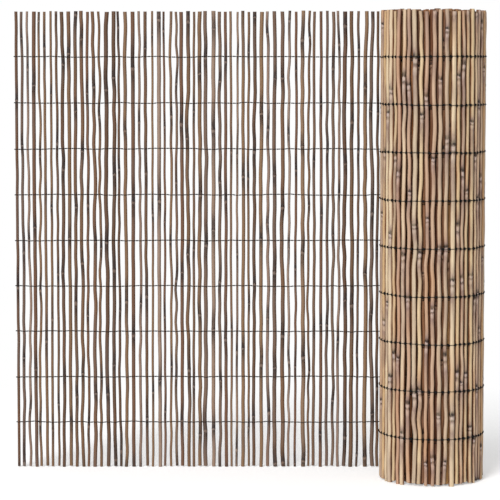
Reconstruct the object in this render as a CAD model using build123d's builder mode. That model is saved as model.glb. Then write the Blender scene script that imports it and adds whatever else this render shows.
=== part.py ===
"""Reed fence: a mat of canes tied by rows of wire, partly unrolled from a roll that stands on its end.

The mat is followed from its free end. It runs straight along +X behind the roll, meets the roll at its
rearmost point and winds clockwise, seen from above, in turns that close in towards the core.
The origin is at the bottom centre of the whole fence: +X runs from the free end to the roll,
-Y is the side that the roll bulges towards, and +Z points up along the canes.
"""

import math
import os
import random
from collections import namedtuple

from build123d import *

# Mat, in millimetres
height = 1000  # longest cane, foot to head
mat_length = 4000  # laid out flat
flat_run = 896  # free end to the point where the mat meets the roll
closed_run = 82  # last of the flat run, hidden by the roll, where the wall is closed between its canes
core_radius = 35  # roll axis to the canes of the innermost turn
turn_gap = 0.6  # clear space between the thickest canes of two turns

# Canes of the flat run, and the clear space between neighbours
flat_dia_min = 5.0
flat_dia_max = 8.8
flat_gap_min = 4.6
flat_gap_max = 8.6

# Canes of the roll, thicker and closer together
roll_dia_min = 6.8
roll_dia_max = 11.0
roll_gap_min = 2.6
roll_gap_max = 5.6

# Every cane
lean = 1.4  # most that a cane's end strays from its middle, along the mat
end_scatter = 3.0  # most that a cane's end falls short of the height
taper = 0.12  # share of its diameter that a cane loses from butt to tip
web = 1.4  # wall along the backs of the canes, where a closed wall shows
seed = 41

# Binding wire
wire_dia = 1.4
wire_clear = 0.1  # between a strand and the thickest cane that it passes
wire_tail = 3.0  # strand past the free end's first cane
row_pitch = 100
chords_per_turn = 27  # straight pieces of a strand in one turn round the roll

Cane = namedtuple("Cane", "along radius lean_foot lean_head short_foot short_head butt_down")

# Sizes that follow from the ones above
turn_pitch = roll_dia_max + turn_gap
rolled_length = mat_length - flat_run
roll_radius = math.sqrt(core_radius**2 + turn_pitch * rolled_length / math.pi)
butt_scale = 1 + taper / 2
tip_scale = 1 - taper / 2
flat_inside = flat_dia_max / 2 * butt_scale + wire_clear  # the mat's middle line to the near face of a strand
flat_outside = flat_inside + wire_dia
roll_inside = roll_dia_max / 2 * butt_scale + wire_clear
roll_outside = roll_inside + wire_dia
tie_half = wire_dia  # the two strands of a row, twisted together, are two wires thick
row_count = round(height / row_pitch) - 1
first_row = (height - (row_count - 1) * row_pitch) / 2
tie_height = first_row + (row_count // 2) * row_pitch
chord_angle = 2 * math.pi / chords_per_turn
chord_stretch = 1 / math.cos(chord_angle / 2)

# The roll's axis, placed so that the whole fence is centred on the origin
side_reach = (roll_radius - turn_pitch / 4 + roll_outside) * chord_stretch
roll_x = (flat_run + wire_tail - side_reach) / 2
roll_y = -turn_pitch / 4


def lay_out_canes():
    """The canes in order from the free end, each with its own size, spacing and crookedness."""
    draw = random.Random(seed)
    canes = []
    edge = 0.0
    while True:
        if edge < flat_run:
            radius = draw.uniform(flat_dia_min, flat_dia_max) / 2
            gap = draw.uniform(flat_gap_min, flat_gap_max)
        else:
            radius = draw.uniform(roll_dia_min, roll_dia_max) / 2
            gap = draw.uniform(roll_gap_min, roll_gap_max)
        leans = [draw.uniform(-lean, lean) for _ in range(2)]
        shorts = [draw.uniform(0, end_scatter) for _ in range(2)]
        butt_down = draw.random() < 0.5
        if edge + 2 * radius > mat_length:
            return canes
        canes.append(Cane(edge + radius, radius, *leans, *shorts, butt_down))
        edge += 2 * radius + gap


def mat_point(along, outward=0.0, stretch=1.0):
    """Plan position of a point on the mat, `outward` from its middle line towards the roll's outside."""
    wound = along - flat_run
    if wound <= 0:
        return Vector(roll_x + wound, roll_y + roll_radius + outward)
    radius = math.sqrt(roll_radius**2 - turn_pitch * wound / math.pi)
    turned = 2 * math.pi * (roll_radius - radius) / turn_pitch
    reach = (radius + outward) * stretch
    return Vector(roll_x + reach * math.sin(turned), roll_y + reach * math.cos(turned))


def wound_at(turned):
    """Distance along the mat at which the roll has turned by this angle."""
    radius = roll_radius - turn_pitch * turned / (2 * math.pi)
    return flat_run + math.pi * (roll_radius**2 - radius**2) / turn_pitch


def half_section(radius):
    """One side of a cane's eight-sided section, from left to right: its shoulders stop at the tie."""
    flat = radius * math.tan(math.pi / 8)
    return [(-radius, tie_half), (-flat, radius), (flat, radius), (radius, tie_half)]


def cane_solid(cane):
    """A cane of the flat run: straight from foot to tie and from tie to head, a little crooked at the tie."""
    foot_scale, head_scale = (butt_scale, tip_scale) if cane.butt_down else (tip_scale, butt_scale)
    stations = [
        (cane.short_foot, cane.lean_foot, foot_scale),
        (tie_height - tie_half, 0, 1),
        (tie_height + tie_half, 0, 1),
        (height - cane.short_head, cane.lean_head, head_scale),
    ]
    upper = half_section(cane.radius)
    outline = upper + [(x, -y) for x, y in reversed(upper)]
    middle = mat_point(cane.along)
    with BuildPart() as solid:
        for level, strays, scale in stations:
            with BuildSketch(Plane.XY.offset(level)):
                with BuildLine():
                    Polyline(
                        *[(middle.X + strays + x * scale, middle.Y + y * scale) for x, y in outline],
                        close=True,
                    )
                make_face()
        loft(ruled=True)
    return solid.part


def tie_solid(left, right):
    """The twisted strands of the middle row, filling the space between two neighbouring canes."""
    start, end = mat_point(left.along + left.radius), mat_point(right.along - right.radius)
    middle = (start + end) / 2
    with BuildPart() as solid:
        with Locations((middle.X, middle.Y, tie_height)):
            Box(end.X - start.X, 2 * tie_half, 2 * tie_half)
    return solid.part


def wall_front(canes, shown_until):
    """The outer face of a closed wall, in plan: whole canes as far as they show, and plain ridges beyond."""
    sections = []
    for cane in canes:
        foot = web - cane.radius
        shown = [(-cane.radius, foot), *half_section(cane.radius), (cane.radius, foot)]
        sections.append(shown if cane.along < shown_until else [(0, cane.radius)])
    return wall_side(canes, sections, 1, shown_until)


def wall_back(canes, shown_until):
    """The inner face of a closed wall, in plan: straight from back to back of the canes that show in front."""
    sections = [[(0, cane.radius)] for cane in canes]
    for end in (0, -1):
        radius = canes[end].radius
        shoulder = radius if canes[end].along < shown_until else tie_half
        sections[end] = [(-radius, shoulder), (0, radius), (radius, shoulder)]
    return wall_side(canes, sections, -1, shown_until)


def wall_side(canes, sections, side, shown_until):
    """The canes' sections set on the mat's middle line, with a valley between two that do not show."""
    points = []
    centres = [mat_point(cane.along) for cane in canes]
    for index, (cane, section) in enumerate(zip(canes, sections)):
        centre = centres[index]
        before, after = centres[max(index - 1, 0)], centres[min(index + 1, len(canes) - 1)]
        onward = (after - before).normalized()
        outward = Vector(-onward.Y, onward.X) * side
        points += [centre + onward * x + outward * y for x, y in section]
        if cane.along >= shown_until and index + 1 < len(canes):
            step = (after - centre).normalized()
            points.append((centre + after) / 2 + Vector(-step.Y, step.X) * side * tie_half)
    return points


def strand_side(flat_level, roll_level, end_angle):
    """One face of an outer strand, in plan, from the free end round the roll's outermost turn."""
    points = [mat_point(-wire_tail, flat_level), mat_point(flat_run - turn_pitch, flat_level)]
    points.append(mat_point(flat_run, roll_level))
    corner = chord_angle / 2
    while corner < end_angle:
        points.append(mat_point(wound_at(corner), roll_level, chord_stretch))
        corner += chord_angle
    points.append(mat_point(wound_at(end_angle), roll_level))
    return points


canes = lay_out_canes()
screen = [cane for cane in canes if cane.along < flat_run - closed_run]
unrolled = [cane for cane in canes if cane.along < flat_run]
backing = unrolled[len(screen) :]
wound = canes[len(unrolled) :]
one_turn = wound_at(2 * math.pi)

# Both strands of a row stop short of the wedge where the next turn slips in under the flat run
tuck_level = roll_radius - flat_outside - wire_clear
tuck_radius = roll_radius - turn_pitch / 2 + roll_outside
tuck_angle = math.acos(tuck_level / tuck_radius)
tuck_x = roll_x - tuck_radius * math.sin(tuck_angle)

# The flat run: canes side by side, open above and below the tie, then a closed wall behind the roll
with BuildPart() as unrolled_reeds:
    with BuildSketch():
        with BuildLine():
            outside = wall_front(backing, flat_run)
            inside = wall_back(backing, flat_run)
            Polyline(*outside, *reversed(inside), close=True)
        make_face()
    extrude(amount=height)
    tied = screen + backing[:1]
    add([cane_solid(cane) for cane in screen] + [tie_solid(*pair) for pair in zip(tied, tied[1:])])
unrolled_reeds.part.label = "unrolled_reeds"

# The wound turns: one ridged wall that coils in to the core
with BuildPart() as rolled_reeds:
    with BuildSketch():
        with BuildLine():
            outside = wall_front(wound, one_turn)
            inside = wall_back(wound, one_turn)
            Polyline(*outside, *reversed(inside), close=True)
        make_face()
    extrude(amount=height)
rolled_reeds.part.label = "rolled_reeds"

pieces = [unrolled_reeds, rolled_reeds]
for row in range(row_count):
    level = first_row + row * row_pitch

    # Outer strand: behind the screen and once round the outside of the roll
    with BuildPart() as outer_strand:
        with BuildSketch(Plane.XY.offset(level)):
            with BuildLine():
                near = strand_side(flat_inside, roll_inside, 2 * math.pi - tuck_angle)
                far = strand_side(flat_outside, roll_outside, 2 * math.pi - tuck_angle)
                Polyline(*near, *reversed(far), close=True)
            make_face()
        extrude(amount=wire_dia / 2, both=True)
    outer_strand.part.label = f"outer_wire_{row + 1}"

    # Inner strand: in front of the screen, as far as the roll
    with BuildPart() as inner_strand:
        start = mat_point(-wire_tail, -flat_outside)
        with Locations((start.X, start.Y, level)):
            Box(tuck_x - start.X, wire_dia, wire_dia, align=(Align.MIN, Align.MIN, Align.CENTER))
    inner_strand.part.label = f"inner_wire_{row + 1}"

    pieces += [outer_strand, inner_strand]

os.makedirs("parts", exist_ok=True)
for piece in pieces:
    export_step(piece.part, f"parts/{piece.part.label}.step")

print("canes", len(canes), "of them unrolled", len(unrolled), "and tied", len(screen))
print("gaps above and below the tie", 2 * len(screen))
print("roll radius", round(roll_radius, 2), "with its axis at", round(roll_x, 2), round(roll_y, 2))
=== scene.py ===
"""Looks of a partly unrolled reed fence, laid out as a Blender add-on and run as a script.

Every cane of the mat is drawn from the same seeded list as the solids that it stands for: it runs flat
behind the roll and then winds into it. All lengths are in metres, +Z points up along the canes, and the
flat run lies along +X with its free end at the left.
"""

import math
import random
from collections import namedtuple

import bpy
from bpy.props import FloatProperty, FloatVectorProperty, IntProperty, PointerProperty
from bpy.types import Operator, Panel, PropertyGroup
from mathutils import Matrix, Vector


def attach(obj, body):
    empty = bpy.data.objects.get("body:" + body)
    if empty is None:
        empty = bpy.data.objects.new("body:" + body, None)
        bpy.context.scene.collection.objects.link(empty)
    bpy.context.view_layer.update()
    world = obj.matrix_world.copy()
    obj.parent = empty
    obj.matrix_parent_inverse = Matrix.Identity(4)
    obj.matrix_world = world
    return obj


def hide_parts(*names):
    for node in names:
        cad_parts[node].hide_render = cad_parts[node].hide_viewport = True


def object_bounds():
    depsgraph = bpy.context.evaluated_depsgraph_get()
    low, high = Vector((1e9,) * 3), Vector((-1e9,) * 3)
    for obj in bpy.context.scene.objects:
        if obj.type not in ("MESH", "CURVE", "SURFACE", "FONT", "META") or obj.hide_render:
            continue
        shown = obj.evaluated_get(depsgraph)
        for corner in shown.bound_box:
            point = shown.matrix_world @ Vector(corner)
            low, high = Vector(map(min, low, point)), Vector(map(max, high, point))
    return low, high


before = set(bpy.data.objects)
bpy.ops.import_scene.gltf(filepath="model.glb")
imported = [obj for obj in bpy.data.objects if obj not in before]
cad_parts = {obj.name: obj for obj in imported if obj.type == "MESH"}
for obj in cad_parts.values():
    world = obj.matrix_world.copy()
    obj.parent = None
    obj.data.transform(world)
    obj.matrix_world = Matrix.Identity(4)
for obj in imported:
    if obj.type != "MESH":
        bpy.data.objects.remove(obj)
CAD_BOX = [list(corner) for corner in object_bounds()]
FENCE_HEIGHT = CAD_BOX[1][2] - CAD_BOX[0][2]

bl_info = {
    "name": "Reed fence",
    "version": (1, 0, 0),
    "blender": (4, 5, 0),
    "location": "3D View > Sidebar > Reed fence",
    "description": "Builds the canes, binding wires and stage of a partly unrolled reed fence",
    "category": "Object",
}

BODY = "root"
WHITE = (1, 1, 1, 1)

# Factors that turn a cane's one random tint into other random numbers of its own
LIVELY_STEP = 7.3
STRETCH_STEP = 83.0
CANE_STEP = 61.0
JOINT_STEP = 7.7

# Rings of a cane: the height from one to the next, those at a joint in joint widths, and their sides
FLAT_RING_PITCH = 0.0145
OUTER_RING_PITCH = 0.0125
SECOND_RING_PITCH = 0.02
CORE_RING_PITCH = 0.05
JOINT_RINGS = (-1.6, -0.6, 0, 0.6, 1.6)
ROUND_SIDES = 12
CORE_SIDES = 8

# Turns of the roll at which its groups of canes end, and the turns that have their wire
OUTER_TURNS = 1.06
SECOND_TURNS = 2.2
WIRED_TURNS = 2.0

# Wire: where it touches a cane, the share of a gap that it passes untwisted at either side, and its twists
WRAP_DEGREES = (-64, -32, 0, 32, 64)
STRAIGHT_SHARE = 0.16
FLAT_TWIST = (1, 6)  # turns in a gap, and steps of the line
ROLL_TWIST = (3, 18)

# Grain of the materials: streaks to the metre, across a cane and along it
STRETCH_GRAIN = (9.0, 7.0)
RAGGED_GRAIN = (260.0, 120.0)
PATCHY_GRAIN = (220.0, 70.0)
# the next grain breaks up the painted shade on the canes' sides
SIDE_SHADE_GRAIN = (160.0, 30.0)
FIBRE_GRAIN = (1300.0, 22.0)
SCALE_GRAIN = (900.0, 900.0)
NOISE_RANGE = (0.3, 0.7)  # where nearly all of a noise's values lie
RAGGED_REACH = 0.0018  # how far the edge of a joint's marks strays
MARK_FACTORS = (0.7, 1.9)  # how many times shorter a joint's marks are, least and most
FIBRE_DARK = (0.62, 0.57, 0.53, 1)  # what the darkest fibres multiply a cane's colour by
WORN_LIFT = 0.05  # how much paler the wire is where its skin is worn

# Stage
FLOOR_LIFT = 0.35  # light that the camera sees on the floor besides the lamps'
WHITE_FROM = 0.6  # distance from the origin at which the floor starts to turn plain white
WHITE_TO = 1.4
KEY_DIRECTION = (-0.48, -1.0, 0.58)  # towards the key lamp

Cane = namedtuple(
    "Cane",
    "along radius short_foot short_head butt_down strays bows joint_first joint_gap tint",
)
Line = namedtuple("Line", "points values")

# What a cane's line holds for each of its points, in this order
CANE_VALUES = ("girth", "below_joint", "joint_gap", "tint", "outward_x", "outward_y")


# Settings that a user would change


def length(name, description, default):
    """A length property in metres."""
    return FloatProperty(name=name, description=description, default=default, unit="LENGTH", precision=4)


def colour(name, description, default):
    """A colour property, written as the sRGB colour that it shows."""
    return FloatVectorProperty(
        name=name, description=description, default=default, subtype="COLOR_GAMMA", size=3, min=0, max=1
    )


class FENCE_PG_mat(PropertyGroup):
    """Sizes of the mat, as the solids have them."""

    height: length("Height", "Longest cane, foot to head", FENCE_HEIGHT)
    mat_length: length("Mat length", "Whole mat laid out flat", 4.0)
    flat_run: length("Flat run", "Free end to the point where the mat meets the roll", 0.896)
    core_radius: length("Core radius", "Roll axis to the canes of the innermost turn", 0.035)
    turn_gap: length("Turn gap", "Clear space between the thickest canes of two turns", 0.0006)
    flat_dia_min: length("Thinnest flat cane", "Diameter of the flat run's thinnest cane", 0.005)
    flat_dia_max: length("Thickest flat cane", "Diameter of the flat run's thickest cane", 0.0088)
    flat_gap_min: length("Narrowest flat gap", "Least clear space between the flat run's canes", 0.0046)
    flat_gap_max: length("Widest flat gap", "Most clear space between the flat run's canes", 0.0086)
    roll_dia_min: length("Thinnest rolled cane", "Diameter of the roll's thinnest cane", 0.0068)
    roll_dia_max: length("Thickest rolled cane", "Diameter of the roll's thickest cane", 0.011)
    roll_gap_min: length("Narrowest rolled gap", "Least clear space between the roll's canes", 0.0026)
    roll_gap_max: length("Widest rolled gap", "Most clear space between the roll's canes", 0.0056)
    lean: length("Lean", "Most that a cane's end strays from its middle", 0.0014)
    end_scatter: length("End scatter", "Most that a cane's end falls short of the height", 0.003)
    taper: FloatProperty(
        name="Taper", description="Share of its diameter that a cane loses from butt to tip", default=0.12
    )
    wire_dia: length("Wire", "Diameter of one strand of binding wire", 0.0014)
    wire_clear: length("Wire clearance", "Between a strand and the thickest cane that it passes", 0.0001)
    wire_tail: length("Wire tail", "Wire past the free end's first cane", 0.003)
    row_pitch: length("Row pitch", "Height from one wire row to the next", 0.1)
    chords_per_turn: IntProperty(
        name="Chords", description="Straight pieces of a solid strand in one turn of the roll", default=27
    )
    seed: IntProperty(name="Seed", description="Seed of the canes' sizes and places", default=41)


class FENCE_PG_crookedness(PropertyGroup):
    """How far the real canes and wires stray from the solids' straight ones."""

    bend_pitch: length("Bend pitch", "Height from one long bend of a cane to the next", 0.12)
    flat_sway: length("Flat sway", "Most that a long bend of a flat cane strays along the mat", 0.0010)
    roll_sway: length("Rolled sway", "Most that a long bend of a rolled cane strays along the mat", 0.0009)
    kink_pitch: length("Kink pitch", "Height from one kink of a cane to the next", 0.036)
    flat_kink: length("Flat kink", "Most that a kink of a flat cane strays along the mat", 0.0010)
    roll_kink: length("Rolled kink", "Most that a kink of a rolled cane strays along the mat", 0.0011)
    follow: FloatProperty(
        name="Follow", description="Share of its neighbour's bends that a rolled cane has", default=0.4
    )
    straightest: FloatProperty(
        name="Straightest", description="Share of the bends that the straightest cane has", default=0.35
    )
    bow: length("Bow", "Most that a kink strays out of the mat", 0.0005)
    least_gap: length("Least gap", "Clear space that bends leave between neighbours", 0.0008)
    easing: IntProperty(name="Easing", description="Rounds of easing neighbours apart", default=8)
    ragged: FloatProperty(
        name="Ragged ends", description="Factor on the end scatter of the roll's canes", default=2.4
    )
    joint_gap_min: length("Shortest internode", "Least height between two joints of a cane", 0.20)
    joint_gap_max: length("Longest internode", "Most height between two joints of a cane", 0.42)
    joint_swell: FloatProperty(
        name="Joint swelling", description="Share of its girth that a cane gains at a joint", default=0.07
    )
    joint_width: length("Joint width", "Half the height of a joint's swelling", 0.0026)
    wire_wander: length("Wire wander", "Most that a wire row strays up or down", 0.0010)
    wander_pitch: length("Wander pitch", "Distance between two bends of a wire row", 0.042)
    wire_step: length("Wire step", "Most that a wire lies higher or lower on one cane", 0.0006)
    flat_twist: length("Flat twist", "How far the wires swing from their middle in the flat run", 0.0008)
    roll_twist: length("Rolled twist", "How far the wires swing from their middle in the roll", 0.0023)
    twist_forward: length("Twist forward", "How far a twist lies towards the roll's outside", 0.0028)
    second_drop: length("Second turn's drop", "How much lower the wires of the second turn lie", 0.008)
    seed: IntProperty(name="Seed", description="Seed of the bends, joints and tints", default=7)


class FENCE_PG_roll_tones(PropertyGroup):
    """Colours of the roll's canes, paler than the flat run's."""

    cream: colour("Cream", "Palest canes", (0.90, 0.825, 0.70))
    bone: colour("Bone", "Pale greyish canes", (0.81, 0.735, 0.63))
    straw: colour("Straw", "Yellow canes", (0.83, 0.715, 0.54))
    rose: colour("Rose", "Pinkish canes", (0.77, 0.62, 0.515))
    amber: colour("Amber", "Orange canes", (0.785, 0.59, 0.415))
    mauve: colour("Mauve", "Grey-mauve stretches", (0.57, 0.47, 0.44))
    bloom: colour("Bloom", "Pale band right below a joint", (0.76, 0.69, 0.67))
    joint: colour("Joint", "Dark ring of a joint", (0.16, 0.11, 0.11))
    # Painted shade: this colour darkens the sides of the canes where their neighbours shelter them
    painted_side_shade: colour("Painted side shade", "What darkens the sides of the canes", (0.56, 0.345, 0.22))
    # Painted shade: the next two colours darken the canes of the inner turns, which the outer turn shadows
    shade: colour("Shade", "What darkens some canes of the inner turns", (0.99, 0.89, 0.77))
    deep_shade: colour("Deep shade", "What darkens the others", (0.50, 0.345, 0.25))


class FENCE_PG_flat_tones(PropertyGroup):
    """Colours of the flat run's canes, darker browns than the roll's."""

    hazel: colour("Hazel", "Palest canes", (0.56, 0.44, 0.325))
    brown: colour("Brown", "Common canes", (0.475, 0.36, 0.262))
    russet: colour("Russet", "Reddish canes", (0.465, 0.33, 0.247))
    umber: colour("Umber", "Dark canes", (0.38, 0.28, 0.205))
    ash: colour("Ash", "Rare pale greyish canes", (0.63, 0.545, 0.49))
    dusk: colour("Dusk", "Greyish stretches", (0.43, 0.36, 0.325))
    fleck: colour("Fleck", "Grey fleck at a joint", (0.52, 0.47, 0.445))
    char: colour("Char", "Near-black stretches about a joint", (0.165, 0.125, 0.118))
    # Painted shade: this colour darkens the sides of the canes where their neighbours shelter them
    painted_side_shade: colour("Painted side shade", "What darkens the sides of the canes", (0.78, 0.68, 0.62))


class FENCE_PG_looks(PropertyGroup):
    """Colours of the wire and the floor."""

    wire: colour("Wire", "Dark annealed wire", (0.055, 0.042, 0.04))
    floor: colour("Floor", "Pale studio floor", (0.96, 0.96, 0.96))


class FENCE_PG_stage(PropertyGroup):
    """Camera, lamps and floor."""

    camera_x: length("Camera X", "Camera across the fence", 0.00549)
    camera_y: length("Camera Y", "Camera in front of the fence", -4.44588)
    camera_z: length("Camera Z", "Camera's height", 0.89149)
    camera_tilt: FloatProperty(
        name="Tilt", description="How far the camera looks down", default=math.radians(4.0), subtype="ANGLE"
    )
    lens: FloatProperty(name="Lens", description="Focal length", default=150.68, unit="CAMERA")
    shift: FloatProperty(
        name="Shift", description="How far the view is shifted to keep the canes upright", default=-0.0859
    )
    key_strength: FloatProperty(name="Key", description="Strength of the soft key lamp", default=2.72)
    key_softness: FloatProperty(
        name="Key softness", description="Angle that the key lamp spans", default=0.4, subtype="ANGLE"
    )
    fill_strength: FloatProperty(name="Fill", description="Strength of the light all round", default=0.41)
    floor_size: length("Floor size", "Side of the floor", 14.0)


# The mat: canes in order from the free end, straight and then wound


def wander(knots, share):
    """Smooth curve through evenly spaced knots, at a share from 0 to 1 of its length."""
    place = min(max(share, 0.0), 1.0) * (len(knots) - 1)
    index = min(int(place), len(knots) - 2)
    step = place - index
    before, here = knots[max(index - 1, 0)], knots[index]
    there, after = knots[index + 1], knots[min(index + 2, len(knots) - 1)]
    bend = 2 * before - 5 * here + 4 * there - after
    twist = 3 * here - before - 3 * there + after
    return here + step * ((there - before) + step * (bend + step * twist)) / 2


class Mat:
    """The mat's plan and its canes, worked out from the sizes."""

    def __init__(self, sizes, crooked):
        self.sizes = sizes
        self.crooked = crooked
        self.turn_pitch = sizes.roll_dia_max + sizes.turn_gap
        rolled_length = sizes.mat_length - sizes.flat_run
        self.roll_radius = math.sqrt(sizes.core_radius**2 + self.turn_pitch * rolled_length / math.pi)
        butt_scale = 1 + sizes.taper / 2
        self.flat_inside = sizes.flat_dia_max / 2 * butt_scale + sizes.wire_clear
        self.roll_inside = sizes.roll_dia_max / 2 * butt_scale + sizes.wire_clear
        roll_outside = self.roll_inside + sizes.wire_dia

        # The roll's axis, placed so that the whole fence is centred on the origin
        stretch = 1 / math.cos(math.pi / sizes.chords_per_turn)
        side_reach = (self.roll_radius - self.turn_pitch / 4 + roll_outside) * stretch
        self.roll_x = (sizes.flat_run + sizes.wire_tail - side_reach) / 2
        self.roll_y = -self.turn_pitch / 4

        # Rows of wire, with the solids' tie at the middle one
        self.row_count = round(sizes.height / sizes.row_pitch) - 1
        self.first_row = (sizes.height - (self.row_count - 1) * sizes.row_pitch) / 2
        self.tie_height = self.first_row + (self.row_count // 2) * sizes.row_pitch
        self.canes = self.lay_out_canes()
        self.spread_bends()

    def lay_out_canes(self):
        """The canes with the solids' own draws, and each with its bends, joints and tint besides."""
        sizes, crooked = self.sizes, self.crooked
        draw = random.Random(sizes.seed)
        bend = random.Random(crooked.seed)
        sway = [0.0] * (round(sizes.height / crooked.bend_pitch) + 1)
        kink = [0.0] * (round(sizes.height / crooked.kink_pitch) + 1)
        canes = []
        edge = 0.0
        while True:
            flat = edge < sizes.flat_run
            if flat:
                radius = draw.uniform(sizes.flat_dia_min, sizes.flat_dia_max) / 2
                gap = draw.uniform(sizes.flat_gap_min, sizes.flat_gap_max)
            else:
                radius = draw.uniform(sizes.roll_dia_min, sizes.roll_dia_max) / 2
                gap = draw.uniform(sizes.roll_gap_min, sizes.roll_gap_max)
            leans = [draw.uniform(-sizes.lean, sizes.lean) for _ in range(2)]
            shorts = [draw.uniform(0, sizes.end_scatter) for _ in range(2)]
            butt_down = draw.random() < 0.5
            if edge + 2 * radius > sizes.mat_length:
                return canes
            most_sway = crooked.flat_sway if flat else crooked.roll_sway
            most_kink = crooked.flat_kink if flat else crooked.roll_kink
            follow = 0.0 if flat else crooked.follow
            sway = [follow * before + bend.uniform(-most_sway, most_sway) for before in sway]
            kink = [follow * before + bend.uniform(-most_kink, most_kink) for before in kink]
            inside = self.flat_inside if flat else self.roll_inside
            room = min(crooked.bow, inside - radius * (1 + sizes.taper / 2))
            bows = [bend.uniform(-room, room) for _ in kink]
            joint_gap = bend.uniform(crooked.joint_gap_min, crooked.joint_gap_max)
            joint_first = bend.uniform(0, joint_gap)
            tint = bend.random()
            lively = crooked.straightest + 2 * (1 - crooked.straightest) * (tint * LIVELY_STEP % 1)
            strays = self.strays(leans, sway, kink, lively)
            canes.append(
                Cane(edge + radius, radius, *shorts, butt_down, strays, bows, joint_first, joint_gap, tint)
            )
            edge += 2 * radius + gap

    def strays(self, leans, sway, kink, lively):
        """How far a cane strays along the mat at each kink: its halves' lean, and its share of the bends."""
        strays = []
        for index, step in enumerate(kink):
            share = index / (len(kink) - 1)
            height = share * self.sizes.height
            if height < self.tie_height:
                lean = leans[0] * (self.tie_height - height) / self.tie_height
            else:
                lean = leans[1] * (height - self.tie_height) / (self.sizes.height - self.tie_height)
            strays.append(lean + lively * (wander(sway, share) + step))
        return strays

    def spread_bends(self):
        """Eases bends apart where two neighbours would come too close, and keeps the first by its wires."""
        first = self.canes[0]
        for _ in range(self.crooked.easing):
            for left, right in zip(self.canes, self.canes[1:]):
                clear = right.along - right.radius - left.along - left.radius
                for knot, (before, after) in enumerate(zip(left.strays, right.strays)):
                    lack = max(0.0, self.crooked.least_gap - clear - after + before)
                    left.strays[knot] -= lack / 2
                    right.strays[knot] += lack / 2
            first.strays[:] = [max(stray, 0.0) for stray in first.strays]

    def place(self, along):
        """A point of the mat's middle line in plan, and the directions onward and outward there."""
        wound = along - self.sizes.flat_run
        if wound <= 0:
            spot = Vector((self.roll_x + wound, self.roll_y + self.roll_radius))
            return spot, Vector((1, 0)), Vector((0, 1))
        radius = math.sqrt(self.roll_radius**2 - self.turn_pitch * wound / math.pi)
        turned = 2 * math.pi * (self.roll_radius - radius) / self.turn_pitch
        outward = Vector((math.sin(turned), math.cos(turned)))
        onward = Vector((math.cos(turned), -math.sin(turned)))
        return Vector((self.roll_x, self.roll_y)) + outward * radius, onward, outward

    def wound_at(self, turns):
        """Distance along the mat at which the roll has made this many turns."""
        radius = self.roll_radius - self.turn_pitch * turns
        return self.sizes.flat_run + math.pi * (self.roll_radius**2 - radius**2) / self.turn_pitch

    def centre(self, cane, height):
        """A cane's centre at this height, in plan, with the directions onward and outward there."""
        spot, onward, outward = self.place(cane.along)
        share = height / self.sizes.height
        stray, bow = wander(cane.strays, share), wander(cane.bows, share)
        return spot + onward * stray + outward * bow, onward, outward

    def joints(self, cane):
        """Heights of a cane's joints, from the head down."""
        height = self.sizes.height - cane.joint_first
        while height > 0:
            yield height
            height -= cane.joint_gap

    def girth(self, cane, height):
        """A cane's radius at this height, with its taper and the swelling at its joints."""
        share = height / self.sizes.height - 0.5
        scale = 1 - self.sizes.taper * (share if cane.butt_down else -share)
        for joint in self.joints(cane):
            off = (height - joint) / self.crooked.joint_width
            scale += self.crooked.joint_swell * math.exp(-off * off)
        return cane.radius * scale

    def cane_line(self, cane, ring_pitch):
        """A cane's centre line with its girth and what its material needs, ring by ring."""
        ragged = 1.0 if cane.along < self.sizes.flat_run else self.crooked.ragged
        foot = cane.short_foot * ragged
        head = self.sizes.height - cane.short_head * ragged
        rings = max(2, round((head - foot) / ring_pitch))
        heights = [foot + (head - foot) * ring / rings for ring in range(rings + 1)]

        # More rings near the ends and at the joints, and none closer than half an edge
        edge = self.crooked.joint_width / 3
        heights += [foot + edge, head - edge]
        for joint in self.joints(cane):
            heights += [joint + self.crooked.joint_width * off for off in JOINT_RINGS]
        heights = sorted(height for height in heights if foot <= height <= head)
        heights = [low for low, high in zip(heights, heights[1:]) if high - low > edge / 2] + [head]

        points = []
        values = []
        for height in heights:
            spot, _, outward = self.centre(cane, height)
            points.append((spot.x, spot.y, height))
            below = self.sizes.height - height - cane.joint_first
            girth = self.girth(cane, height)
            values.append((girth, below, cane.joint_gap, cane.tint, outward.x, outward.y))

        # The last stretch at either end runs straight up, so that the ends are cut square
        points[0] = (*points[1][:2], foot)
        points[-1] = (*points[-2][:2], head)
        return Line(points, values)


# Geometry Nodes


def new_tree(name, inputs):
    """A geometry tree with named inputs, given as (name, socket type, default)."""
    tree = bpy.data.node_groups.new(name, "GeometryNodeTree")
    tree.interface.new_socket("Geometry", in_out="INPUT", socket_type="NodeSocketGeometry")
    tree.interface.new_socket("Geometry", in_out="OUTPUT", socket_type="NodeSocketGeometry")
    for label, kind, default in inputs:
        socket = tree.interface.new_socket(label, in_out="INPUT", socket_type=kind)
        if default is not None:
            socket.default_value = default
    return tree


def add_node(tree, kind, links=None, **settings):
    """A node with its settings, and its inputs linked or set by name."""
    node = tree.nodes.new(kind)
    for name, value in settings.items():
        setattr(node, name, value)
    for name, value in (links or {}).items():
        socket = node.inputs[name]
        if isinstance(value, bpy.types.NodeSocket):
            tree.links.new(value, socket)
        else:
            socket.default_value = value
    return node


def named_value(tree, name):
    """A float attribute read by name."""
    node = add_node(tree, "GeometryNodeInputNamedAttribute", {"Name": name}, data_type="FLOAT")
    return node.outputs["Attribute"]


def finish_tree(tree, geometry, material):
    """The tree's end: instances made real, and the material set."""
    real = add_node(tree, "GeometryNodeRealizeInstances", {"Geometry": geometry})
    painted = add_node(tree, "GeometryNodeSetMaterial", {"Geometry": real.outputs[0], "Material": material})
    add_node(tree, "NodeGroupOutput", {"Geometry": painted.outputs[0]})


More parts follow.
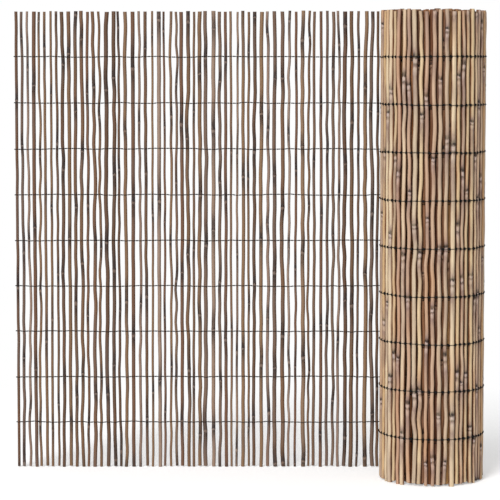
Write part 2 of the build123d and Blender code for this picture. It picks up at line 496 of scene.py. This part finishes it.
def cane_tree():
    """Turns lines into canes: round tubes of the girth at each point, with a hollow at each cut end."""
    tree = new_tree(
        "Canes along lines",
        [
            ("Sides", "NodeSocketInt", ROUND_SIDES),
            ("Hollow", "NodeSocketFloat", 0.55),
            ("Hollow Depth", "NodeSocketFloat", 0.004),
            ("Material", "NodeSocketMaterial", None),
        ],
    )
    given = add_node(tree, "NodeGroupInput").outputs
    curve = add_node(tree, "GeometryNodeMeshToCurve", {"Mesh": given["Geometry"]})
    ring = add_node(tree, "GeometryNodeCurvePrimitiveCircle", {"Resolution": given["Sides"], "Radius": 1.0})
    tube = add_node(
        tree,
        "GeometryNodeCurveToMesh",
        {
            "Curve": curve.outputs[0],
            "Profile Curve": ring.outputs[0],
            "Scale": named_value(tree, "girth"),
            "Fill Caps": True,
        },
    )

    # Only a tube's caps have more than four corners: each gets a flat rim and a hollow
    corners = add_node(tree, "GeometryNodeInputMeshFaceNeighbors").outputs["Vertex Count"]
    is_cap = add_node(tree, "FunctionNodeCompare", data_type="INT", operation="GREATER_THAN")
    tree.links.new(corners, is_cap.inputs[2])
    is_cap.inputs[3].default_value = 4
    rim = add_node(
        tree,
        "GeometryNodeExtrudeMesh",
        {"Mesh": tube.outputs[0], "Selection": is_cap.outputs[0], "Offset Scale": 0.0, "Individual": True},
    )
    rim_marked = mark_cut(tree, rim.outputs["Mesh"], rim.outputs["Side"], 1.0)
    narrowed = add_node(
        tree,
        "GeometryNodeScaleElements",
        {"Geometry": rim_marked, "Selection": rim.outputs["Top"], "Scale": given["Hollow"]},
    )
    inward = add_node(tree, "ShaderNodeMath", {0: given["Hollow Depth"], 1: -1.0}, operation="MULTIPLY")
    hollow = add_node(
        tree,
        "GeometryNodeExtrudeMesh",
        {
            "Mesh": narrowed.outputs[0],
            "Selection": rim.outputs["Top"],
            "Offset Scale": inward.outputs[0],
            "Individual": True,
        },
    )
    wall_marked = mark_cut(tree, hollow.outputs["Mesh"], hollow.outputs["Side"], 2.0)
    all_marked = mark_cut(tree, wall_marked, hollow.outputs["Top"], 2.0)

    # The skin is shaded smooth, and the cut ends stay flat
    is_skin = add_node(
        tree,
        "FunctionNodeCompare",
        {0: named_value(tree, "cut"), 1: 0.5},
        data_type="FLOAT",
        operation="LESS_THAN",
    )
    smooth = add_node(
        tree, "GeometryNodeSetShadeSmooth", {"Geometry": all_marked, "Shade Smooth": is_skin.outputs[0]}
    )
    finish_tree(tree, smooth.outputs[0], given["Material"])
    return tree


def mark_cut(tree, geometry, faces, value):
    """Stores on these faces how far inside the cut end they are."""
    node = add_node(
        tree,
        "GeometryNodeStoreNamedAttribute",
        {"Geometry": geometry, "Selection": faces, "Name": "cut"},
        data_type="FLOAT",
        domain="FACE",
    )
    node.inputs["Value"].default_value = value
    return node.outputs[0]


def strand_tree():
    """Turns lines into round wire."""
    tree = new_tree(
        "Wire along lines",
        [
            ("Sides", "NodeSocketInt", 5),
            ("Wire Diameter", "NodeSocketFloat", 0.001),
            ("Material", "NodeSocketMaterial", None),
        ],
    )
    given = add_node(tree, "NodeGroupInput").outputs
    curve = add_node(tree, "GeometryNodeMeshToCurve", {"Mesh": given["Geometry"]})
    radius = add_node(tree, "ShaderNodeMath", {0: given["Wire Diameter"], 1: 0.5}, operation="MULTIPLY")
    ring = add_node(
        tree,
        "GeometryNodeCurvePrimitiveCircle",
        {"Resolution": given["Sides"], "Radius": radius.outputs[0]},
    )
    tube = add_node(
        tree,
        "GeometryNodeCurveToMesh",
        {"Curve": curve.outputs[0], "Profile Curve": ring.outputs[0], "Fill Caps": True},
    )
    smooth = add_node(
        tree, "GeometryNodeSetShadeSmooth", {"Geometry": tube.outputs[0], "Shade Smooth": True}
    )
    finish_tree(tree, smooth.outputs[0], given["Material"])
    return tree


def line_object(name, lines, value_names=()):
    """An object of open lines, with a float attribute for each named value."""
    points = []
    edges = []
    values = []
    for line in lines:
        start = len(points)
        points += line.points
        values += line.values
        edges += [(index, index + 1) for index in range(start, len(points) - 1)]
    mesh = bpy.data.meshes.new(name)
    mesh.from_pydata(points, edges, [])
    for column, label in enumerate(value_names):
        attribute = mesh.attributes.new(label, "FLOAT", "POINT")
        attribute.data.foreach_set("value", [row[column] for row in values])
    thing = bpy.data.objects.new(name, mesh)
    bpy.context.scene.collection.objects.link(thing)
    return thing


def grow(name, lines, tree, inputs, value_names=()):
    """Runs a tree over lines and leaves one plain mesh object at the origin."""
    source = line_object(name + "_lines", lines, value_names)
    modifier = source.modifiers.new("Grow", "NODES")
    modifier.node_group = tree
    for item in tree.interface.items_tree:
        if item.item_type == "SOCKET" and item.name in inputs:
            modifier[item.identifier] = inputs[item.name]
    depsgraph = bpy.context.evaluated_depsgraph_get()
    mesh = bpy.data.meshes.new_from_object(source.evaluated_get(depsgraph))
    source.modifiers.remove(modifier)
    bpy.data.objects.remove(source)
    if not mesh.polygons:
        raise RuntimeError(f"{name} came out with no faces")
    mesh.name = name
    piece = bpy.data.objects.new(name, mesh)
    bpy.context.scene.collection.objects.link(piece)
    return piece


# Materials


def linear(rgb):
    """An sRGB colour as the linear RGBA that a socket takes."""
    channels = [c / 12.92 if c <= 0.04045 else ((c + 0.055) / 1.055) ** 2.4 for c in rgb]
    return (*channels, 1.0)


def dimmed(rgba, dim):
    """A linear colour multiplied by another."""
    return tuple(channel * share for channel, share in zip(rgba, dim))


def new_material(name):
    """A node material with its tree cleared down to the output and one Principled shader."""
    material = bpy.data.materials.new(name)
    material.use_nodes = True
    tree = material.node_tree
    tree.nodes.clear()
    shader = tree.nodes.new("ShaderNodeBsdfPrincipled")
    output = tree.nodes.new("ShaderNodeOutputMaterial")
    tree.links.new(shader.outputs[0], output.inputs["Surface"])
    return material, tree, shader


def attribute(tree, name):
    """A float attribute of the mesh."""
    return add_node(tree, "ShaderNodeAttribute", attribute_name=name).outputs["Fac"]


def maths(tree, operation, *terms):
    """One step of arithmetic."""
    return add_node(tree, "ShaderNodeMath", dict(enumerate(terms)), operation=operation).outputs[0]


def spread(tree, value, low, high, out_low=0.0, out_high=1.0):
    """A value taken from one range to another, held at the ends."""
    links = {"Value": value, "From Min": low, "From Max": high, "To Min": out_low, "To Max": out_high}
    return add_node(tree, "ShaderNodeMapRange", links, clamp=True).outputs[0]


def blend(tree, factor, first, second, mode="MIX"):
    """Two colours mixed. The Mix node's names repeat, so its colour sockets go by number."""
    node = add_node(tree, "ShaderNodeMix", data_type="RGBA", blend_type=mode)
    for socket, value in zip((node.inputs[0], node.inputs[6], node.inputs[7]), (factor, first, second)):
        if isinstance(value, bpy.types.NodeSocket):
            tree.links.new(value, socket)
        else:
            socket.default_value = value
    return node.outputs[2]


def ramp(tree, factor, stops):
    """A colour ramp through (position, RGBA) stops: its colour, and its alpha."""
    node = add_node(tree, "ShaderNodeValToRGB", {"Fac": factor})
    elements = node.color_ramp.elements
    while len(elements) < len(stops):
        elements.new(0.5)
    for element, (position, rgba) in zip(elements, stops):
        element.position = position
        element.color = rgba
    return node.outputs["Color"], node.outputs["Alpha"]


def grain(tree, across, along, detail=2.0, shift=None):
    """Noise in streaks along a cane: how many to the metre across it and along it."""
    place = add_node(tree, "ShaderNodeTexCoord").outputs["Object"]
    scaled = add_node(tree, "ShaderNodeMapping", {"Vector": place, "Scale": (across, across, along)})
    links = {"Vector": scaled.outputs[0], "Scale": 1.0, "Detail": detail}
    if shift is not None:
        links["W"] = shift
    dimensions = "3D" if shift is None else "4D"
    return add_node(tree, "ShaderNodeTexNoise", links, noise_dimensions=dimensions).outputs[0]


def marks(tree, distance, stops):
    """Colour and cover of the marks at a distance from a joint, through (distance, colour, cover) stops."""
    reach = stops[-1][0]
    painted = [(place / reach, (*rgba[:3], cover)) for place, rgba, cover in stops]
    return ramp(tree, spread(tree, distance, 0.0, reach), painted)


def flank(tree):
    """0 where a cane faces straight out of the mat or into it, and 1 at its two sides."""
    parts = {"X": attribute(tree, "outward_x"), "Y": attribute(tree, "outward_y")}
    across = add_node(tree, "ShaderNodeCombineXYZ", parts).outputs[0]
    facing = add_node(tree, "ShaderNodeTexCoord").outputs["Normal"]
    dot = add_node(tree, "ShaderNodeVectorMath", {0: facing, 1: across}, operation="DOT_PRODUCT")
    return maths(tree, "SUBTRACT", 1.0, maths(tree, "ABSOLUTE", dot.outputs["Value"]))


def cane_material(name, tones, stretches, painted_side_shade, below_stops, above_stops, rim, hollow_shade):
    """Dry cane: a tone for each cane, long stretches of two others, and marks at either side of a joint."""
    material, tree, shader = new_material(name)
    tint = attribute(tree, "tint")
    base, _ = ramp(tree, tint, [(index / (len(tones) - 1), tone) for index, tone in enumerate(tones)])

    # Long stretches of another tone, one where the noise is high and one where it is low
    own_stretch = maths(tree, "MULTIPLY", tint, STRETCH_STEP)
    stretch = grain(tree, *STRETCH_GRAIN, detail=1.0, shift=own_stretch)
    base = blend(tree, spread(tree, stretch, 0.55, 0.66, 0.0, 0.45), base, stretches[0])
    base = blend(tree, spread(tree, stretch, 0.45, 0.30, 0.0, 0.5), base, stretches[1])

    # Marks at a distance below and above the nearest joint, with ragged edges, shorter at some joints
    uneven_edge = spread(tree, grain(tree, *RAGGED_GRAIN), *NOISE_RANGE, -RAGGED_REACH, RAGGED_REACH)
    gap = attribute(tree, "joint_gap")
    from_head = maths(tree, "ADD", attribute(tree, "below_joint"), uneven_edge)
    gaps_down = maths(tree, "DIVIDE", from_head, gap)
    below = maths(tree, "MULTIPLY", maths(tree, "FRACT", gaps_down), gap)
    above = maths(tree, "SUBTRACT", gap, below)
    of_cane = maths(tree, "MULTIPLY", tint, CANE_STEP)
    of_joint = maths(tree, "MULTIPLY_ADD", maths(tree, "ROUND", gaps_down), JOINT_STEP, of_cane)
    chance = add_node(tree, "ShaderNodeTexWhiteNoise", {"W": of_joint}, noise_dimensions="1D")
    shorter = spread(tree, chance.outputs["Value"], 0.0, 1.0, *MARK_FACTORS)
    patchy = spread(tree, grain(tree, *PATCHY_GRAIN), 0.38, 0.58, 0.6, 1.0)
    for distance, stops in ((below, below_stops), (above, above_stops)):
        mark, cover = marks(tree, maths(tree, "MULTIPLY", distance, shorter), stops)
        base = blend(tree, maths(tree, "MULTIPLY", cover, patchy), base, mark)

    # Painted shade on the sides that neighbours shelter, and fibres along the cane
    uneven = grain(tree, *SIDE_SHADE_GRAIN)
    side_shade_mask = maths(tree, "ADD", flank(tree), spread(tree, uneven, *NOISE_RANGE, -0.12, 0.12))
    base = blend(tree, spread(tree, side_shade_mask, 0.30, 0.95), base, painted_side_shade, "MULTIPLY")
    fibre = grain(tree, *FIBRE_GRAIN, detail=3.0)
    streaks, _ = ramp(tree, fibre, [(0.25, FIBRE_DARK), (0.72, WHITE)])
    base = blend(tree, 1.0, base, streaks, "MULTIPLY")

    # Pale rim of the cut ends, and painted shade inside their hollows
    cut = attribute(tree, "cut")
    base = blend(tree, spread(tree, cut, 0.4, 0.6), base, rim)
    base = blend(tree, spread(tree, cut, 1.4, 1.6), base, hollow_shade)
    tree.links.new(base, shader.inputs["Base Color"])

    rough = spread(tree, fibre, *NOISE_RANGE, 0.46, 0.62)
    tree.links.new(rough, shader.inputs["Roughness"])
    shader.inputs["Specular IOR Level"].default_value = 0.3
    bump = add_node(tree, "ShaderNodeBump", {"Height": fibre, "Strength": 0.5, "Distance": 0.0002})
    tree.links.new(bump.outputs[0], shader.inputs["Normal"])
    return material


def roll_cane_material(name, colours, shades):
    """Cane of the roll: cream to amber, with a dark ring at a joint, a pale bloom and a mauve fade."""
    labels = ("cream", "bone", "straw", "rose", "amber", "mauve", "bloom", "joint")
    painted_side_shade = linear(colours.painted_side_shade)
    # Painted shade: each tone and mark is multiplied by these colours, which are white for the outer turn
    dims = [linear(shade) for shade in shades]
    paint = {label: linear(getattr(colours, label)) for label in labels}
    order = "cream straw rose bone straw cream amber straw bone rose cream straw".split()
    mauve, bloom, joint = (dimmed(paint[label], dims[0]) for label in ("mauve", "bloom", "joint"))
    below = [
        (0.0, joint, 1.0),
        (0.0034, joint, 0.95),
        (0.0056, bloom, 0.9),
        (0.0100, bloom, 0.85),
        (0.0130, joint, 0.85),
        (0.0160, mauve, 0.95),
        (0.0200, bloom, 0.6),
        (0.0320, mauve, 0.85),
        (0.0600, mauve, 0.5),
        (0.1200, mauve, 0.0),
    ]
    above = [
        (0.0, joint, 1.0),
        (0.0030, joint, 0.8),
        (0.0065, mauve, 0.85),
        (0.0180, mauve, 0.4),
        (0.0400, mauve, 0.0),
    ]
    tones = [dimmed(paint[label], dims[index % len(dims)]) for index, label in enumerate(order)]
    stretches = (mauve, dimmed(paint["amber"], dims[-1]))
    return cane_material(name, tones, stretches, painted_side_shade, below, above, paint["bone"], joint)


def flat_cane_material(name, colours):
    """Cane of the flat run: warm browns, near-black about a joint, with a grey fleck below it."""
    labels = ("hazel", "brown", "russet", "umber", "ash", "dusk", "fleck", "char")
    paint = {label: linear(getattr(colours, label)) for label in labels}
    order = "hazel umber russet brown dusk hazel brown umber russet ash hazel brown".split()
    fleck, char, dusk = paint["fleck"], paint["char"], paint["dusk"]
    below = [
        (0.0, char, 0.9),
        (0.0015, fleck, 0.7),
        (0.0040, fleck, 0.6),
        (0.0070, char, 0.9),
        (0.0240, char, 0.65),
        (0.0500, dusk, 0.4),
        (0.0900, dusk, 0.0),
    ]
    above = [
        (0.0, char, 1.0),
        (0.0140, char, 0.9),
        (0.0320, char, 0.65),
        (0.0600, char, 0.0),
    ]
    tones = [paint[label] for label in order]
    stretches = (dusk, paint["russet"])
    return cane_material(name, tones, stretches, linear(colours.painted_side_shade), below, above, paint["hazel"], char)


def wire_material(looks):
    """Dark annealed steel wire with a dull, scaly skin."""
    material, tree, shader = new_material("Annealed wire")
    scale = grain(tree, *SCALE_GRAIN, detail=3.0)
    dark = linear(looks.wire)
    worn = linear([channel + WORN_LIFT for channel in looks.wire])
    tree.links.new(blend(tree, spread(tree, scale, 0.5, 0.75), dark, worn), shader.inputs["Base Color"])
    tree.links.new(spread(tree, scale, *NOISE_RANGE, 0.55, 0.8), shader.inputs["Roughness"])
    shader.inputs["Metallic"].default_value = 0.3
    shader.inputs["Specular IOR Level"].default_value = 0.2
    return material


def seen_directly(tree):
    """1 for rays from the camera, a mirror or a glass, and 0 for the light that falls on things."""
    path = add_node(tree, "ShaderNodeLightPath").outputs
    either = maths(tree, "MAXIMUM", path["Is Camera Ray"], path["Is Glossy Ray"])
    return maths(tree, "MAXIMUM", either, path["Is Transmission Ray"])


def floor_material(looks):
    """Pale floor, lifted to white for the camera alone, with the shadow near the fence left on it."""
    material, tree, shader = new_material("Studio floor")
    shader.inputs["Base Color"].default_value = linear(looks.floor)
    shader.inputs["Roughness"].default_value = 0.9
    shader.inputs["Specular IOR Level"].default_value = 0.1
    seen = seen_directly(tree)
    lifting = maths(tree, "MULTIPLY", seen, FLOOR_LIFT)
    glow = add_node(tree, "ShaderNodeEmission", {"Color": WHITE, "Strength": lifting})
    lifted = add_node(tree, "ShaderNodeAddShader", {0: shader.outputs[0], 1: glow.outputs[0]})
    place = add_node(tree, "ShaderNodeTexCoord").outputs["Object"]
    reach = add_node(tree, "ShaderNodeVectorMath", {0: place}, operation="LENGTH").outputs["Value"]
    faded = maths(tree, "MULTIPLY", spread(tree, reach, WHITE_FROM, WHITE_TO), seen)
    white = add_node(tree, "ShaderNodeEmission", {"Color": WHITE, "Strength": 1.0})
    mix = add_node(tree, "ShaderNodeMixShader", {0: faded, 1: lifted.outputs[0], 2: white.outputs[0]})
    output = next(node for node in tree.nodes if node.type == "OUTPUT_MATERIAL")
    tree.links.new(mix.outputs[0], output.inputs["Surface"])
    return material


# Operators


def adopt(piece, slot, *nodes):
    """Parents a finished piece to the body that it rides on and hides the solids that it stands for; the
    slot is not used.
    """
    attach(piece, BODY)
    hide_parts(*nodes)


def make_canes(name, mat, canes, ring_pitch, sides, material):
    """One piece of canes, grown by the cane tree."""
    lines = [mat.cane_line(cane, ring_pitch) for cane in canes]
    return grow(name, lines, cane_tree(), {"Sides": sides, "Material": material}, CANE_VALUES)


class FENCE_OT_unrolled_canes(Operator):
    """Build the canes of the flat run"""

    bl_idname = "reed_fence.unrolled_canes"
    bl_label = "Unrolled canes"

    def execute(self, context):
        mat = Mat(context.scene.fence_mat, context.scene.fence_crookedness)
        canes = [cane for cane in mat.canes if cane.along < mat.sizes.flat_run]
        material = flat_cane_material("Flat cane", context.scene.fence_weathered)
        piece = make_canes("unrolled_canes", mat, canes, FLAT_RING_PITCH, ROUND_SIDES, material)
        adopt(piece, "unrolled_reed", "unrolled_reeds")
        return {"FINISHED"}


class FENCE_OT_rolled_canes(Operator):
    """Build the canes of the roll, its outermost turn with the most detail"""

    bl_idname = "reed_fence.rolled_canes"
    bl_label = "Rolled canes"

    def execute(self, context):
        mat = Mat(context.scene.fence_mat, context.scene.fence_crookedness)
        colours = context.scene.fence_fresh
        outer_material = roll_cane_material("Roll cane", colours, [WHITE[:3]])
        # The inner turns get painted shade: their tones are multiplied by the two shade colours in turn
        shaded = roll_cane_material("Shaded cane", colours, [colours.shade, colours.deep_shade])
        all_turns = mat.roll_radius / mat.turn_pitch
        bands = (
            ("rolled_canes_outer", 0.0, OUTER_TURNS, OUTER_RING_PITCH, ROUND_SIDES, outer_material),
            ("rolled_canes_second", OUTER_TURNS, SECOND_TURNS, SECOND_RING_PITCH, ROUND_SIDES, shaded),
            ("rolled_canes_core", SECOND_TURNS, all_turns, CORE_RING_PITCH, CORE_SIDES, shaded),
        )
        for name, first_turn, last_turn, ring_pitch, sides, material in bands:
            start, end = mat.wound_at(first_turn), mat.wound_at(last_turn)
            canes = [cane for cane in mat.canes if start <= cane.along < end]
            piece = make_canes(name, mat, canes, ring_pitch, sides, material)
            adopt(piece, "rolled_reed", "rolled_reeds")
        return {"FINISHED"}


def row_height(mat, row, along, knots):
    """Height of a wire row at this distance along the mat, with its wander and the second turn's drop."""
    level = mat.first_row + row * mat.sizes.row_pitch + wander(knots, along / mat.sizes.mat_length)

    # The drop comes on over the last two bends of the first turn
    bends_past = (along - mat.wound_at(1.0)) / mat.crooked.wander_pitch
    dropped = min(max(bends_past / 2 + 1, 0.0), 1.0)
    return level - dropped * mat.crooked.second_drop


def strand_line(mat, canes, levels, side):
    """One strand of a row: round each cane on its side of the mat, and twisted with the other between."""
    wire_radius = mat.sizes.wire_dia / 2
    wrap = [math.radians(angle) for angle in WRAP_DEGREES]
    points = []
    start = mat.place(wire_radius - mat.sizes.wire_tail)[0]
    start_level = levels[0]
    for cane, level in zip(canes, levels):
        spot, onward, outward = mat.centre(cane, level)
        radius = mat.girth(cane, level)
        edge = spot - onward * radius
        flat = cane.along < mat.sizes.flat_run
        turns, steps = FLAT_TWIST if flat else ROLL_TWIST
        swing = mat.crooked.flat_twist if flat else mat.crooked.roll_twist
        forward = 0.0 if flat else mat.crooked.twist_forward
        for step in range(steps + 1):
            share = STRAIGHT_SHARE + (1 - 2 * STRAIGHT_SHARE) * step / steps
            turn = 2 * math.pi * turns * step / steps
            middle = start.lerp(edge, share) + outward * (forward + side * swing * math.cos(turn))
            height = start_level + (level - start_level) * share + side * swing * math.sin(turn)
            points.append((middle.x, middle.y, height))
        for angle in wrap:
            bearing = onward * math.sin(angle) + outward * (side * math.cos(angle))
            around = (radius + wire_radius) * bearing
            points.append((spot.x + around.x, spot.y + around.y, level))
        start, start_level = spot + onward * radius, level
    return Line(points, [()] * len(points))


class FENCE_OT_binding_wires(Operator):
    """Build the twisted pair of wires of every row"""

    bl_idname = "reed_fence.binding_wires"
    bl_label = "Binding wires"

    def execute(self, context):
        mat = Mat(context.scene.fence_mat, context.scene.fence_crookedness)
        crooked = mat.crooked
        material = wire_material(context.scene.fence_looks)
        tied = [cane for cane in mat.canes if cane.along < mat.wound_at(WIRED_TURNS)]
        draw = random.Random(crooked.seed + 1)  # a list of its own, apart from the canes' bends
        knot_count = round(mat.sizes.mat_length / crooked.wander_pitch)
        tree = strand_tree()
        for row in range(mat.row_count):
            knots = [draw.uniform(-crooked.wire_wander, crooked.wire_wander) for _ in range(knot_count)]
            steps = [draw.uniform(-crooked.wire_step, crooked.wire_step) for _ in tied]
            levels = [row_height(mat, row, cane.along, knots) + step for cane, step in zip(tied, steps)]
            lines = [strand_line(mat, tied, levels, side) for side in (1, -1)]
            inputs = {"Wire Diameter": mat.sizes.wire_dia, "Material": material}
            piece = grow(f"binding_wire_{row + 1}", lines, tree, inputs)
            adopt(piece, "binding_wire", f"outer_wire_{row + 1}", f"inner_wire_{row + 1}")
        return {"FINISHED"}


class FENCE_OT_stage(Operator):
    """Build the floor, the lamps, the world and the camera"""

    bl_idname = "reed_fence.stage"
    bl_label = "Stage"

    def execute(self, context):
        scene = context.scene
        stage = scene.fence_stage
        half = stage.floor_size / 2
        mesh = bpy.data.meshes.new("floor")
        corners = [(-half, -half, 0), (half, -half, 0), (half, half, 0), (-half, half, 0)]
        mesh.from_pydata(corners, [], [(0, 1, 2, 3)])
        floor = bpy.data.objects.new("floor", mesh)
        mesh.materials.append(floor_material(scene.fence_looks))
        scene.collection.objects.link(floor)

        lamp = bpy.data.lights.new("key", "SUN")
        lamp.energy = stage.key_strength
        lamp.angle = stage.key_softness
        key = bpy.data.objects.new("key", lamp)
        key.rotation_euler = Vector(KEY_DIRECTION).to_track_quat("Z", "Y").to_euler()
        scene.collection.objects.link(key)

        world = bpy.data.worlds.new("Studio")
        world.use_nodes = True
        tree = world.node_tree
        tree.nodes.clear()
        light = add_node(tree, "ShaderNodeBackground", {"Color": WHITE, "Strength": stage.fill_strength})
        shown = add_node(tree, "ShaderNodeBackground", {"Color": WHITE, "Strength": 1.0})
        mix = add_node(
            tree, "ShaderNodeMixShader", {0: seen_directly(tree), 1: light.outputs[0], 2: shown.outputs[0]}
        )
        add_node(tree, "ShaderNodeOutputWorld", {"Surface": mix.outputs[0]})
        scene.world = world

        lens = bpy.data.cameras.new("camera")
        lens.lens = stage.lens
        lens.shift_y = stage.shift
        camera = bpy.data.objects.new("camera", lens)
        camera.location = (stage.camera_x, stage.camera_y, stage.camera_z)
        camera.rotation_euler = (math.pi / 2 - stage.camera_tilt, 0, 0)
        scene.collection.objects.link(camera)
        scene.camera = camera
        scene.view_settings.view_transform = "Standard"
        return {"FINISHED"}


class FENCE_PT_sidebar(Panel):
    """Sizes, colours and build steps of the reed fence"""

    bl_idname = "FENCE_PT_sidebar"
    bl_label = "Reed fence"
    bl_space_type = "VIEW_3D"
    bl_region_type = "UI"
    bl_category = "Reed fence"

    def draw(self, context):
        for group_name in GROUPS:
            group = getattr(context.scene, group_name)
            box = self.layout.box()
            for label in group.__annotations__:
                box.prop(group, label)
        for operator in OPERATORS:
            self.layout.operator(operator.bl_idname)


GROUPS = {
    "fence_mat": FENCE_PG_mat,
    "fence_crookedness": FENCE_PG_crookedness,
    "fence_fresh": FENCE_PG_roll_tones,
    "fence_weathered": FENCE_PG_flat_tones,
    "fence_looks": FENCE_PG_looks,
    "fence_stage": FENCE_PG_stage,
}
OPERATORS = (FENCE_OT_unrolled_canes, FENCE_OT_rolled_canes, FENCE_OT_binding_wires, FENCE_OT_stage)


def register():
    """Registers the groups, the operators and the panel."""
    for group_name, group in GROUPS.items():
        bpy.utils.register_class(group)
        setattr(bpy.types.Scene, group_name, PointerProperty(type=group))
    for operator in OPERATORS:
        bpy.utils.register_class(operator)
    bpy.utils.register_class(FENCE_PT_sidebar)


def unregister():
    """Takes them all out again."""
    bpy.utils.unregister_class(FENCE_PT_sidebar)
    for operator in reversed(OPERATORS):
        bpy.utils.unregister_class(operator)
    for group_name, group in reversed(GROUPS.items()):
        delattr(bpy.types.Scene, group_name)
        bpy.utils.unregister_class(group)


def main():
    """Builds the fence and its stage."""
    register()
    bpy.ops.reed_fence.unrolled_canes()
    bpy.ops.reed_fence.rolled_canes()
    bpy.ops.reed_fence.binding_wires()
    bpy.ops.reed_fence.stage()


if __name__ == "__main__":
    main()
